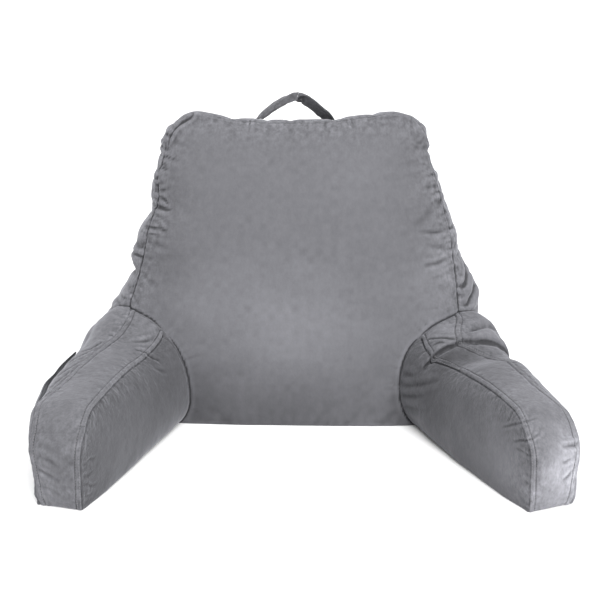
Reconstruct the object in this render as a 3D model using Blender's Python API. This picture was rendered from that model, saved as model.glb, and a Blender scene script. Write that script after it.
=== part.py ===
"""Reading pillow with arms: a leaning back cushion, two spreading arms, a carry strap and a side pocket.

Metres, +Z up. The arms reach towards -Y and +X is the right-hand side as seen from the front.
Every cushion is a cube that is sliced into panels and then swollen by a form function.
"""

import math
from collections import namedtuple

import bmesh
import bpy
from mathutils import Matrix, Vector

# Driving dimensions of the whole pillow
GAP = 0.0003                # kept between pieces that touch
BACK_HEIGHT = 0.452         # floor to the middle of the top seam
FRONT_LEAN = math.radians(12.0)
REAR_LEAN = math.radians(5.0)
FRONT_SEAM_FOOT = 0.119     # depth of the front panel's side seams at the floor
REAR_SEAM_FOOT = 0.252      # depth of the rear panel's side seams at the floor
FRONT_CROWN = 0.036
REAR_CROWN = 0.026
TOP_CROWN = 0.005
TOP_SLOPE = 0.014           # how far the top gusset falls towards the rear seam
FOOT_SHARE = 0.72           # share of the crown that the panels keep at the floor
REAR_FLARE = 0.6            # share of the gusset's swell that the rear seams stand out by
EAR_REACH = 6.0             # power that keeps the ears of the top edge near the top

# Side seams of the back's front panel, and how far the gusset swells out beside them
BackRow = namedtuple("BackRow", "height seam_left seam_right side_left side_right")
BACK_ROWS = (
    BackRow(0.000, -0.268, 0.248, -0.290, 0.278),
    BackRow(0.060, -0.272, 0.252, -0.302, 0.288),
    BackRow(0.120, -0.272, 0.252, -0.306, 0.290),
    BackRow(0.154, -0.270, 0.250, -0.306, 0.287),
    BackRow(0.180, -0.266, 0.248, -0.288, 0.284),
    BackRow(0.215, -0.254, 0.245, -0.267, 0.270),
    BackRow(0.250, -0.245, 0.239, -0.260, 0.252),
    BackRow(0.288, -0.238, 0.235, -0.252, 0.241),
    BackRow(0.310, -0.231, 0.229, -0.238, 0.236),
    BackRow(0.333, -0.222, 0.221, -0.236, 0.229),
    BackRow(0.368, -0.224, 0.213, -0.234, 0.219),
    BackRow(0.410, -0.211, 0.201, -0.221, 0.205),
    BackRow(0.440, -0.205, 0.195, -0.213, 0.199),
    BackRow(BACK_HEIGHT, -0.194, 0.184, -0.200, 0.189),
)

# Rise of the top seam above its middle: an ear near each corner, uneven dips between
EdgeRow = namedtuple("EdgeRow", "across rise")
TOP_EDGE = (
    EdgeRow(0.00, -0.003),
    EdgeRow(0.07, 0.013),
    EdgeRow(0.13, 0.011),
    EdgeRow(0.23, 0.004),
    EdgeRow(0.36, 0.000),
    EdgeRow(0.50, -0.001),
    EdgeRow(0.65, 0.001),
    EdgeRow(0.79, 0.007),
    EdgeRow(0.92, 0.013),
    EdgeRow(0.97, 0.008),
    EdgeRow(1.00, -0.002),
)

# An arm's sections from its front end back into the cushion: offsets outwards from the arm's inner floor
# line, and heights of the two felled seams that hold the boxing strip
ArmRow = namedtuple("ArmRow", "along floor_in belly_in seam_in seam_out belly_out floor_out "
                              "ridge_in ridge_out crown")
LEFT_ARM_ROWS = (
    ArmRow(0.000, 0.006, 0.002, 0.006, 0.082, 0.083, 0.070, 0.125, 0.114, 0.010),
    ArmRow(0.060, 0.002, -0.005, 0.009, 0.093, 0.100, 0.083, 0.128, 0.117, 0.011),
    ArmRow(0.120, 0.002, -0.008, 0.014, 0.105, 0.113, 0.093, 0.129, 0.119, 0.012),
    ArmRow(0.200, 0.001, -0.010, 0.024, 0.118, 0.129, 0.103, 0.127, 0.124, 0.014),
    ArmRow(0.280, 0.000, -0.011, 0.034, 0.134, 0.147, 0.112, 0.122, 0.131, 0.018),
    ArmRow(0.330, 0.000, -0.013, 0.040, 0.140, 0.155, 0.117, 0.132, 0.146, 0.022),
    ArmRow(0.370, 0.000, -0.014, 0.046, 0.130, 0.145, 0.112, 0.146, 0.154, 0.020),
    ArmRow(0.410, 0.004, -0.008, 0.046, 0.098, 0.112, 0.086, 0.138, 0.146, 0.016),
    ArmRow(0.450, 0.010, 0.004, 0.045, 0.070, 0.074, 0.060, 0.120, 0.130, 0.010),
)
RIGHT_ARM_ROWS = (
    ArmRow(0.000, 0.004, 0.001, 0.002, 0.080, 0.082, 0.070, 0.125, 0.108, 0.010),
    ArmRow(0.060, 0.001, -0.005, 0.004, 0.090, 0.097, 0.082, 0.130, 0.113, 0.011),
    ArmRow(0.120, 0.001, -0.008, 0.010, 0.099, 0.109, 0.091, 0.129, 0.119, 0.012),
    ArmRow(0.200, 0.000, -0.010, 0.019, 0.114, 0.126, 0.101, 0.123, 0.125, 0.014),
    ArmRow(0.265, 0.000, -0.012, 0.026, 0.125, 0.139, 0.107, 0.116, 0.120, 0.008),
    ArmRow(0.300, 0.000, -0.013, 0.022, 0.131, 0.147, 0.111, 0.130, 0.132, 0.018),
    ArmRow(0.345, 0.000, -0.015, 0.034, 0.137, 0.153, 0.114, 0.138, 0.152, 0.016),
    ArmRow(0.380, 0.000, -0.015, 0.044, 0.126, 0.141, 0.108, 0.142, 0.154, 0.014),
    ArmRow(0.420, 0.004, -0.008, 0.046, 0.096, 0.108, 0.082, 0.134, 0.144, 0.012),
    ArmRow(0.460, 0.010, 0.004, 0.045, 0.068, 0.072, 0.058, 0.120, 0.130, 0.010),
)

# Each arm starts at its inner front corner on the floor and flares outwards from straight ahead
Arm = namedtuple("Arm", "name corner_x corner_y flare outwards rows")
LEFT_ARM = Arm("arm_left", -0.296, -0.213, math.radians(19.3), -1, LEFT_ARM_ROWS)
RIGHT_ARM = Arm("arm_right", 0.314, -0.217, math.radians(25.0), 1, RIGHT_ARM_ROWS)
NOSE_RADIUS = 0.052         # the strip's turn from the top of the arm down its front
NOSE_CROWN = 0.010
NOSE_REACH = 0.09           # length over which the side panels fill out behind the front seams
NOSE_CROWDING = 0.6         # how much closer the slices lie at the nose than further back

# Patch pocket on the outer panel of the left arm
POCKET_FRONT = 0.078        # along the arm
POCKET_REAR = 0.268
POCKET_FOOT = 0.07          # share of the panel's height
POCKET_MOUTH = 0.93
POCKET_GAPE = 0.012
POCKET_CLOTH = 0.002
POCKET_CLEARANCE = 3.0 * GAP
PANEL_STEP = 0.01           # share of a panel over which its slope is measured

# Carry strap: an arch behind the top seam whose faces turn from front to underside at the apex
StrapRow = namedtuple("StrapRow", "x y z turn")
STRAP_ROWS = (
    StrapRow(-0.072, 0.262, 0.430, 25.0),
    StrapRow(-0.061, 0.257, 0.448, 28.0),
    StrapRow(-0.043, 0.252, 0.464, 32.0),
    StrapRow(-0.024, 0.249, 0.480, 34.0),
    StrapRow(-0.010, 0.248, 0.487, 20.0),
    StrapRow(0.003, 0.248, 0.486, -24.0),
    StrapRow(0.015, 0.250, 0.478, -38.0),
    StrapRow(0.030, 0.254, 0.463, -42.0),
    StrapRow(0.045, 0.259, 0.447, -40.0),
    StrapRow(0.053, 0.262, 0.430, -36.0),
)
STRAP_WIDTH = 0.024
STRAP_CLOTH = 0.0035

PLUSH = (0.235, 0.232, 0.250, 1.0)
STRAP_PLUSH = (0.130, 0.130, 0.140, 1.0)
PLUSH_ROUGHNESS = 0.9


def row_at(rows, key, value):
    """The table's row at a value of its key column, interpolated between the rows on either side."""
    value = min(max(value, getattr(rows[0], key)), getattr(rows[-1], key))
    for low, high in zip(rows, rows[1:]):
        start, end = getattr(low, key), getattr(high, key)
        if value <= end:
            share = (value - start) / (end - start)
            return type(low)(*(a + (b - a) * share for a, b in zip(low, high)))
    return rows[-1]


def mix(start, end, share):
    return start + (end - start) * share


def swell(share, fullness=2.4, shoulder=0.6):
    """Height of a filled panel across its width: 0 at either seam, 1 half-way, steep at the seams."""
    return max(0.0, 1.0 - abs(2.0 * share - 1.0) ** fullness) ** shoulder


def filled_out(distance, reach):
    """Rises from 0 at a seam to 1 at the given reach behind it."""
    return swell(0.5 * min(1.0, distance / reach))


def seam_spacing(count):
    """Fractions from 0 to 1, closer together near both seams."""
    return [0.5 - 0.5 * math.cos(math.pi * step / count) for step in range(count + 1)]


def nose_spacing(count):
    """Fractions from 0 to 1, closer together near the front end."""
    evenly = [step / count for step in range(count + 1)]
    return [mix(share, 1.0 - math.cos(0.5 * math.pi * share), NOSE_CROWDING) for share in evenly]


def sliced_cube(across, deep, high):
    """A unit cube from 0 to 1 each way, sliced at the given fractions."""
    mesh = bmesh.new()
    bmesh.ops.create_cube(mesh, size=1.0, matrix=Matrix.Translation((0.5, 0.5, 0.5)))
    for axis, fractions in enumerate((across, deep, high)):
        normal = Vector((0.0, 0.0, 0.0))
        normal[axis] = 1.0
        for fraction in fractions[1:-1]:
            pieces = mesh.verts[:] + mesh.edges[:] + mesh.faces[:]
            bmesh.ops.bisect_plane(mesh, geom=pieces, plane_co=normal * fraction, plane_no=normal)
    return mesh


def formed_object(name, mesh, form, material, collection):
    """Moves each point of a sliced cube to its place on the piece and makes the object."""
    for vertex in mesh.verts:
        vertex.co = form(*(round(share, 6) for share in vertex.co))
    bmesh.ops.triangulate(mesh, faces=mesh.faces)
    bmesh.ops.recalc_face_normals(mesh, faces=mesh.faces)
    data = bpy.data.meshes.new(name)
    mesh.to_mesh(data)
    mesh.free()
    data.shade_smooth()
    data.materials.append(material)
    made = bpy.data.objects.new(name, data)
    collection.objects.link(made)
    return made


def back_point(across, deep, high):
    """A point of the back cushion: across from the left, deep from the front, high from the floor."""
    row = row_at(BACK_ROWS, "height", high * BACK_HEIGHT)
    edge = row_at(TOP_EDGE, "across", across)
    gusset = mix(swell(deep), 1.0, REAR_FLARE * deep)
    x = mix(row.seam_left, row.seam_right, across)
    x += (row.side_left - row.seam_left) * (1.0 - across) * gusset
    x += (row.side_right - row.seam_right) * across * gusset
    front = FRONT_SEAM_FOOT + row.height * math.tan(FRONT_LEAN)
    rear = REAR_SEAM_FOOT + row.height * math.tan(REAR_LEAN)
    filled = mix(swell(high), 1.0, FOOT_SHARE * (1.0 - high) ** 2)
    y = mix(front, rear, deep) + swell(across) * filled * mix(-FRONT_CROWN, REAR_CROWN, deep)
    z = row.height + edge.rise * high ** EAR_REACH - TOP_SLOPE * deep * high
    z += TOP_CROWN * swell(across) * swell(deep) * high
    return Vector((x, y, z))


def arm_frame(arm, along, outwards, height):
    """From an arm's own measures to the pillow's frame."""
    x = arm.corner_x + arm.outwards * (outwards * math.cos(arm.flare) - along * math.sin(arm.flare))
    y = arm.corner_y + along * math.cos(arm.flare) + outwards * math.sin(arm.flare)
    return Vector((x, y, height))


def rounded_nose(along, height, top):
    """Turns the square corner between the arm's top and its front into a quarter round."""
    forward = (NOSE_RADIUS - along) / NOSE_RADIUS
    upward = (height - top + NOSE_RADIUS) / NOSE_RADIUS
    if forward <= 0.0 or upward <= 0.0:
        return along, height
    turned_forward = forward * math.sqrt(1.0 - upward ** 2 / 2.0)
    turned_upward = upward * math.sqrt(1.0 - forward ** 2 / 2.0)
    return NOSE_RADIUS * (1.0 - turned_forward), top - NOSE_RADIUS * (1.0 - turned_upward)


def arm_point(arm, back_share, out_share, up_share):
    """A point of an arm: from its front end back, from its inner panel out, and from the floor up."""
    along = back_share * arm.rows[-1].along
    row = row_at(arm.rows, "along", along)
    filled = swell(up_share) * filled_out(along, NOSE_REACH)
    inner = mix(row.floor_in, row.seam_in, up_share)
    outer = mix(row.floor_out, row.seam_out, up_share)
    inner += (row.belly_in - mix(row.floor_in, row.seam_in, 0.5)) * filled
    outer += (row.belly_out - mix(row.floor_out, row.seam_out, 0.5)) * filled
    ridge = mix(row.ridge_in, row.ridge_out, out_share)
    height = ridge * up_share + row.crown * swell(out_share) * up_share
    along -= NOSE_CROWN * swell(out_share) * filled_out(up_share, 0.5) * (1.0 - back_share)
    along, height = rounded_nose(along, height, ridge + row.crown * swell(out_share))
    return arm_frame(arm, along, mix(inner, outer, out_share), height)


def strap_point(length_share, width_share, cloth_share):
    """A point of the carry strap, along its arch, across its width and through its cloth."""
    step = length_share * (len(STRAP_ROWS) - 1)
    index = min(int(step), len(STRAP_ROWS) - 2)
    before, after = STRAP_ROWS[max(index - 1, 0)], STRAP_ROWS[min(index + 2, len(STRAP_ROWS) - 1)]
    knots = [Vector(knot) for knot in (before, STRAP_ROWS[index], STRAP_ROWS[index + 1], after)]
    here, slope = smooth_through(knots, step - index)
    forward = slope.to_3d().normalized()
    turn = Matrix.Rotation(math.radians(here[3]), 3, forward)
    upward = turn @ forward.cross(Vector((0.0, 1.0, 0.0))).normalized()
    sideways = upward.cross(forward)
    offset = sideways * (width_share - 0.5) * STRAP_WIDTH + upward * (cloth_share - 0.5) * STRAP_CLOTH
    return here.to_3d() + offset


def smooth_through(knots, share):
    """Point and slope of a smooth curve between the two middle knots of four."""
    first, second, third, fourth = knots
    bend = 2.0 * first - 5.0 * second + 4.0 * third - fourth
    twist = 3.0 * second - 3.0 * third + fourth - first
    point = second + 0.5 * share * (third - first + share * (bend + share * twist))
    slope = 0.5 * (third - first) + share * bend + 1.5 * share ** 2 * twist
    return point, slope


def pocket_point(back_share, cloth_share, up_share):
    """A point of the pocket: along the arm, through its cloth, and from its foot to its mouth."""
    arm = LEFT_ARM
    reach = arm.rows[-1].along
    along = mix(POCKET_FRONT, POCKET_REAR, back_share) / reach
    up = mix(POCKET_FOOT, POCKET_MOUTH, up_share)
    backwards = arm_point(arm, along + PANEL_STEP, 1.0, up) - arm_point(arm, along - PANEL_STEP, 1.0, up)
    upwards = arm_point(arm, along, 1.0, up + PANEL_STEP) - arm_point(arm, along, 1.0, up - PANEL_STEP)
    outwards = backwards.cross(upwards).normalized() * arm.outwards
    gape = POCKET_GAPE * swell(back_share) * up_share ** 2
    lift = POCKET_CLEARANCE + gape + POCKET_CLOTH * cloth_share
    return arm_point(arm, along, 1.0, up) + outwards * lift


def plush(name, colour):
    material = bpy.data.materials.new(name)
    material.use_nodes = True
    shader = material.node_tree.nodes["Principled BSDF"]
    shader.inputs["Base Color"].default_value = colour
    shader.inputs["Roughness"].default_value = PLUSH_ROUGHNESS
    shader.inputs["Metallic"].default_value = 0.0
    material.diffuse_color = colour
    return material


def new_collection(name):
    collection = bpy.data.collections.new(name)
    bpy.context.scene.collection.children.link(collection)
    return collection


def back(name, growth, collection):
    """The back cushion, or a copy of it grown by a clearance."""
    mesh = sliced_cube(seam_spacing(16), seam_spacing(5), seam_spacing(18))
    made = formed_object(name, mesh, back_point, plush(name, PLUSH), collection)
    if growth:
        normals = [vertex.normal.copy() for vertex in made.data.vertices]
        for vertex, normal in zip(made.data.vertices, normals):
            vertex.co += normal * growth
    return made


def cut_clear(piece, cutter):
    """Cuts away what of a piece would lie inside the back cushion."""
    cut = piece.modifiers.new("clear_of_back", "BOOLEAN")
    cut.operation = "DIFFERENCE"
    cut.solver = "EXACT"
    cut.object = cutter


def arm_cushion(arm, cutter, collection):
    mesh = sliced_cube(nose_spacing(20), seam_spacing(6), seam_spacing(8))
    made = formed_object(arm.name, mesh, lambda *shares: arm_point(arm, *shares), plush(arm.name, PLUSH),
                         collection)
    cut_clear(made, cutter)


def handle(cutter, collection):
    steps = 4 * (len(STRAP_ROWS) - 1)
    mesh = sliced_cube([step / steps for step in range(steps + 1)], (0.0, 0.5, 1.0), (0.0, 1.0))
    made = formed_object("handle", mesh, strap_point, plush("handle", STRAP_PLUSH), collection)
    cut_clear(made, cutter)


def pocket(collection):
    mesh = sliced_cube(seam_spacing(10), (0.0, 1.0), seam_spacing(8))
    formed_object("pocket", mesh, pocket_point, plush("pocket", PLUSH), collection)


def centre_over_origin(objects, measured):
    """Moves everything so that the measured pieces stand on the floor with the origin under their middle."""
    bpy.context.view_layer.update()
    depsgraph = bpy.context.evaluated_depsgraph_get()
    corners = [point.co for piece in measured for point in piece.evaluated_get(depsgraph).data.vertices]
    middle_x = 0.5 * (min(co.x for co in corners) + max(co.x for co in corners))
    middle_y = 0.5 * (min(co.y for co in corners) + max(co.y for co in corners))
    for piece in objects:
        piece.location = (-middle_x, -middle_y, 0.0)


def main():
    for leftover in list(bpy.data.objects):
        bpy.data.objects.remove(leftover)
    pillow = new_collection("reading_pillow")
    cutters = new_collection("cutters")
    cutter = back("back_clearance", GAP, cutters)
    cutter.hide_render = True
    cutter.display_type = "WIRE"
    back("back", 0.0, pillow)
    arm_cushion(LEFT_ARM, cutter, pillow)
    arm_cushion(RIGHT_ARM, cutter, pillow)
    handle(cutter, pillow)
    pocket(pillow)
    centre_over_origin(list(pillow.objects) + list(cutters.objects), list(pillow.objects))


main()
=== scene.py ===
"""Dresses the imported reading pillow: filled plush cushions, felled seams, folds, pocket and carry strap.

Metres, +Z up. The arms reach towards -Y and +X is the right-hand side as seen from the front.
"""

import math
from collections import namedtuple

import bmesh
import bpy
import numpy as np
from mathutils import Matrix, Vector
from mathutils.bvhtree import BVHTree


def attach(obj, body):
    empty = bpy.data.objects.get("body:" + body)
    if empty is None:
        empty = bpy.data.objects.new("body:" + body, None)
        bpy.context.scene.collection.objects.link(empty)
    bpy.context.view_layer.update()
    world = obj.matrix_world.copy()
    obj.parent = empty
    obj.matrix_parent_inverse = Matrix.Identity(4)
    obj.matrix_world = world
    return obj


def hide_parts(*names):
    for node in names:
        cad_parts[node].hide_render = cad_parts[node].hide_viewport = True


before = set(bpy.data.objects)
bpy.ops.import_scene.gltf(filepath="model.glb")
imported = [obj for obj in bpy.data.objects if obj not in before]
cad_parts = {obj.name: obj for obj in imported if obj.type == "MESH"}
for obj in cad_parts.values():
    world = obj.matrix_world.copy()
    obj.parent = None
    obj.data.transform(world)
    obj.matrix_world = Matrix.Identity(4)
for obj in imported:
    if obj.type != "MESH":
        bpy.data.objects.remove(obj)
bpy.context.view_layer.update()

# ---- driving sizes
DRAWN_AT = np.array((-0.004349, -0.043370, 0.0))   # the drawing's origin in the frame
GAP = 0.0004                # kept between pieces that touch
BACK_HEIGHT = 0.452
BACK_WIDTH, BACK_DEPTH = 0.500, 0.150       # how wide and deep the back is taken to be when it is gridded
FRONT_LEAN, REAR_LEAN = math.radians(12.0), math.radians(5.0)
FRONT_SEAM_FOOT, REAR_SEAM_FOOT = 0.119, 0.252
FRONT_CROWN, REAR_CROWN, TOP_CROWN = 0.036, 0.026, 0.005
TOP_SLOPE = 0.014
FOOT_SHARE = 0.72
REAR_FLARE = 0.6
EAR_REACH = 6.0
FOOT_PUSH, FOOT_PUSH_RIGHT, FOOT_REACH = 0.010, 0.014, 0.14    # how far the foot of the front comes forward
BELLY_PUSH, BELLY_HEIGHT, BELLY_REACH = 0.016, 0.120, 0.070    # the front's fullest place above the floor
NOSE_RADIUS, NOSE_CROWN, NOSE_REACH = 0.052, 0.010, 0.09
NOSE_RUN = 0.125            # how far a felled seam runs down an arm's front
STRIP_WIDTH, STRIP_REST, SIDE_HEIGHT = 0.078, 0.026, 0.130     # an arm's strip, what is beyond it, its side
EDGE = 1e-6                 # a share that is this near to 0 or 1 lies on an edge


def table(columns, *rows):
    """Rows whose columns have names."""
    Row = namedtuple("Row", columns)
    return [Row(*row) for row in rows]


# Side seams of the back's front panel, and how far the gusset swells out beside them
BACK_ROWS = table(
    "height seam_left seam_right side_left side_right",
    (0.000, -0.268, 0.248, -0.290, 0.278),
    (0.060, -0.272, 0.252, -0.302, 0.288),
    (0.120, -0.272, 0.252, -0.306, 0.290),
    (0.154, -0.270, 0.250, -0.306, 0.287),
    (0.180, -0.266, 0.248, -0.288, 0.284),
    (0.215, -0.254, 0.245, -0.267, 0.270),
    (0.250, -0.245, 0.239, -0.260, 0.252),
    (0.288, -0.238, 0.235, -0.252, 0.241),
    (0.310, -0.231, 0.229, -0.238, 0.236),
    (0.333, -0.222, 0.221, -0.236, 0.229),
    (0.368, -0.224, 0.213, -0.234, 0.219),
    (0.410, -0.211, 0.201, -0.221, 0.205),
    (0.440, -0.205, 0.195, -0.213, 0.199),
    (BACK_HEIGHT, -0.194, 0.184, -0.200, 0.189),
)

# Rise of the top seam above its middle
TOP_EDGE = table(
    "across rise",
    (0.00, -0.003), (0.07, 0.0155), (0.13, 0.0125), (0.23, 0.004), (0.36, 0.000), (0.50, -0.001),
    (0.65, 0.001), (0.79, 0.008), (0.92, 0.013), (0.97, 0.008), (1.00, -0.002),
)

# Cross-sections of the arms, from the front back
ARM_COLUMNS = "along floor_in belly_in seam_in seam_out belly_out floor_out ridge_in ridge_out crown"
LEFT_ARM_ROWS = table(
    ARM_COLUMNS,
    (0.000, 0.000, -0.003, -0.003, 0.082, 0.083, 0.065, 0.125, 0.114, 0.010),
    (0.060, -0.003, -0.006, 0.006, 0.093, 0.100, 0.083, 0.128, 0.117, 0.011),
    (0.120, -0.002, -0.008, 0.014, 0.105, 0.113, 0.093, 0.129, 0.119, 0.012),
    (0.200, 0.001, -0.010, 0.024, 0.118, 0.129, 0.103, 0.127, 0.124, 0.014),
    (0.280, 0.003, -0.011, 0.031, 0.134, 0.147, 0.112, 0.122, 0.131, 0.018),
    (0.330, 0.006, -0.012, 0.031, 0.140, 0.155, 0.117, 0.132, 0.146, 0.022),
    (0.370, 0.010, -0.012, 0.038, 0.130, 0.145, 0.112, 0.146, 0.154, 0.020),
    (0.410, 0.015, -0.006, 0.040, 0.098, 0.112, 0.086, 0.138, 0.146, 0.016),
    (0.450, 0.021, 0.005, 0.040, 0.070, 0.074, 0.060, 0.120, 0.130, 0.010),
)
RIGHT_ARM_ROWS = table(
    ARM_COLUMNS,
    (0.000, -0.004, -0.007, -0.008, 0.080, 0.082, 0.065, 0.125, 0.108, 0.010),
    (0.060, -0.008, -0.009, 0.000, 0.090, 0.097, 0.082, 0.130, 0.113, 0.011),
    (0.120, -0.007, -0.010, 0.010, 0.099, 0.109, 0.091, 0.129, 0.119, 0.012),
    (0.200, -0.004, -0.011, 0.019, 0.114, 0.126, 0.101, 0.123, 0.125, 0.014),
    (0.265, 0.003, -0.011, 0.025, 0.125, 0.139, 0.107, 0.115, 0.120, 0.008),
    (0.300, 0.006, -0.011, 0.013, 0.131, 0.147, 0.111, 0.117, 0.132, 0.018),
    (0.345, 0.010, -0.011, 0.024, 0.137, 0.153, 0.114, 0.130, 0.152, 0.016),
    (0.380, 0.012, -0.010, 0.036, 0.126, 0.141, 0.108, 0.134, 0.154, 0.014),
    (0.420, 0.016, -0.005, 0.040, 0.096, 0.108, 0.082, 0.128, 0.144, 0.012),
    (0.460, 0.022, 0.005, 0.042, 0.068, 0.072, 0.058, 0.118, 0.130, 0.010),
)

# Where the boxing strip's outer seam runs: metres back along the arm's top, or down its front below 0,
# and its place across the strip's face
LEFT_OUTER_SEAM = table(
    "run out",
    (-0.125, 0.955), (-0.030, 0.960), (0.030, 0.955), (0.067, 0.935), (0.092, 0.880), (0.120, 0.810),
    (0.178, 0.745), (0.224, 0.690), (0.263, 0.600), (0.298, 0.510), (0.325, 0.500), (0.356, 0.560),
)
RIGHT_OUTER_SEAM = table(
    "run out",
    (-0.125, 0.930), (-0.040, 0.945), (0.000, 0.955), (0.023, 0.940), (0.060, 0.865), (0.097, 0.785),
    (0.175, 0.740), (0.223, 0.735), (0.262, 0.660), (0.280, 0.530), (0.296, 0.435), (0.312, 0.450),
    (0.326, 0.515), (0.344, 0.600), (0.372, 0.690),
)
Arm = namedtuple("Arm", "name corner_x corner_y flare outwards rows outer_seam shoulder")
LEFT_ARM = Arm("arm_left", -0.296, -0.213, math.radians(19.3), -1, LEFT_ARM_ROWS, LEFT_OUTER_SEAM, 0.009)
RIGHT_ARM = Arm("arm_right", 0.314, -0.217, math.radians(25.0), 1, RIGHT_ARM_ROWS, RIGHT_OUTER_SEAM, 0.0)
SHOULDER_ALONG, SHOULDER_REACH = 0.165, 0.080       # where cloth bulges over the arm's outer edge
STRIP_SHARE = 0.76          # share of an arm's cross grid lines that lie on the boxing strip

POCKET_FRONT, POCKET_REAR = 0.078, 0.268
POCKET_FOOT, POCKET_MOUTH = 0.07, 0.93
POCKET_HEIGHT, POCKET_GAPE = 0.105, 0.0060
POCKET_CLOTH, HEM_CLOTH, HEM_DEPTH = 0.0022, 0.0042, 0.012

STRAP_ROWS = table(
    "x y z lean",
    (-0.0800, 0.266, 0.425, 12.0), (-0.0620, 0.256, 0.4515, 17.0), (-0.0500, 0.252, 0.4630, 20.0),
    (-0.0360, 0.250, 0.4738, 21.0), (-0.0220, 0.249, 0.4811, 18.0), (-0.0120, 0.249, 0.4826, 7.0),
    (-0.0040, 0.249, 0.4801, -19.0), (0.0030, 0.249, 0.4827, -38.0), (0.0105, 0.250, 0.4803, -47.0),
    (0.0200, 0.251, 0.4735, -49.0), (0.0310, 0.253, 0.4626, -47.0), (0.0430, 0.256, 0.4510, -44.0),
    (0.0580, 0.266, 0.4250, -36.0),
)
STRAP_WIDTH, STRAP_CLOTH = 0.024, 0.0036
STRAP_CUP, STRAP_TOP_CUP = 0.0015, 0.0105      # how far the strap's middle stands over its edges
STRAP_ROW_NEAR, STRAP_ROW_FAR = 0.0034, 0.0062          # its stitch rows, from either edge
STITCH, STITCH_GAP, THREAD = 0.0026, 0.0014, 0.0004
THREAD_ROUND = ((1.0, 0.0), (0.3, 0.8), (-0.3, 0.8), (-1.0, 0.0), (0.0, -0.5))      # a thread's cross-section
THREAD_CLEAR = 0.002        # threads stop this high over the floor
STRIP_ROW_NEAR, STRIP_ROW_FAR = 0.0020, 0.0068          # the stitch rows beside a felled seam
FELL = 0.0085               # width of a felled seam

# The fold of the right arm's collar: metres back along the arm, at places across its strip
COLLAR_FOLD = table(
    "out along",
    (0.00, 0.305), (0.12, 0.305), (0.33, 0.304), (0.54, 0.300), (0.73, 0.296), (0.86, 0.293), (1.00, 0.290),
)

COLLAR_PUSH, COLLAR_RISE, COLLAR_VALLEY = 0.0095, 0.0045, 0.0062

# Folds, listed one by one. Each runs through share triples of its piece's form; lip is the ridge beside it
FOLD_COLUMNS = "depth width lip path"
RIGHT_ARM_FOLDS = table(
    FOLD_COLUMNS,
    # inside the collar, and where the inner seam slips under it
    (0.0026, 0.0028, 0.6, ((0.735, 0.02, 1), (0.722, 0.1, 1), (0.682, 0.25, 1), (0.66, 0.4, 1))),
    (0.0012, 0.002, 0.6, ((0.69, 0.04, 1), (0.684, 0.12, 1), (0.668, 0.24, 1))),
    (0.006, 0.007, 0.3, ((0.668, 0.46, 1), (0.684, 0.64, 1), (0.696, 0.84, 1), (0.71, 1, 0.97))),
    # soft level folds on the inner panel, from the attaching seam
    (0.0022, 0.0054, 0.6, ((0.752, 0, 0.62), (0.7, 0, 0.7), (0.66, 0, 0.76))),
    (0.0022, 0.005, 0.6, ((0.762, 0, 0.48), (0.69, 0, 0.6), (0.62, 0, 0.74), (0.56, 0, 0.88))),
    (0.0018, 0.005, 0.6, ((0.762, 0, 0.35), (0.68, 0, 0.47), (0.6, 0, 0.62))),
    (0.0014, 0.006, 0.5, ((0.74, 0, 0.24), (0.64, 0, 0.35), (0.55, 0, 0.46))),
    # pinches across the seams of the nose
    (0.0008, 0.0024, 0.5, ((0.135, 0, 0.84), (0.12, 0, 0.91), (0.113, 0, 0.98), (0.112, 0.1, 1))),
    (0.0012, 0.0018, 0.5, ((0.155, 0, 0.75), (0.107, 0, 0.85), (0.04, 0.01, 1), (0.05, 0.28, 1))),
    (0.0013, 0.0018, 0.5, ((0.09, 0, 0.69), (0.05, 0, 0.78), (0, 0.02, 0.93), (0.006, 0.27, 1))),
    (0.0008, 0.0018, 0.5, ((0.075, 0, 0.64), (0.04, 0, 0.67), (0, 0, 0.7))),
    (0.0022, 0.0032, 0.6, ((0, 0.56, 0.83), (0, 0.74, 0.85), (0, 0.9, 0.87), (0, 1, 0.89))),
    (0.0012, 0.003, 0.6, ((0, 0.55, 0.55), (0, 0.72, 0.6), (0, 0.84, 0.66))),
    (0.0012, 0.003, 0.6, ((0, 0.62, 0.34), (0, 0.75, 0.4), (0, 0.84, 0.46))),
)
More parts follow.
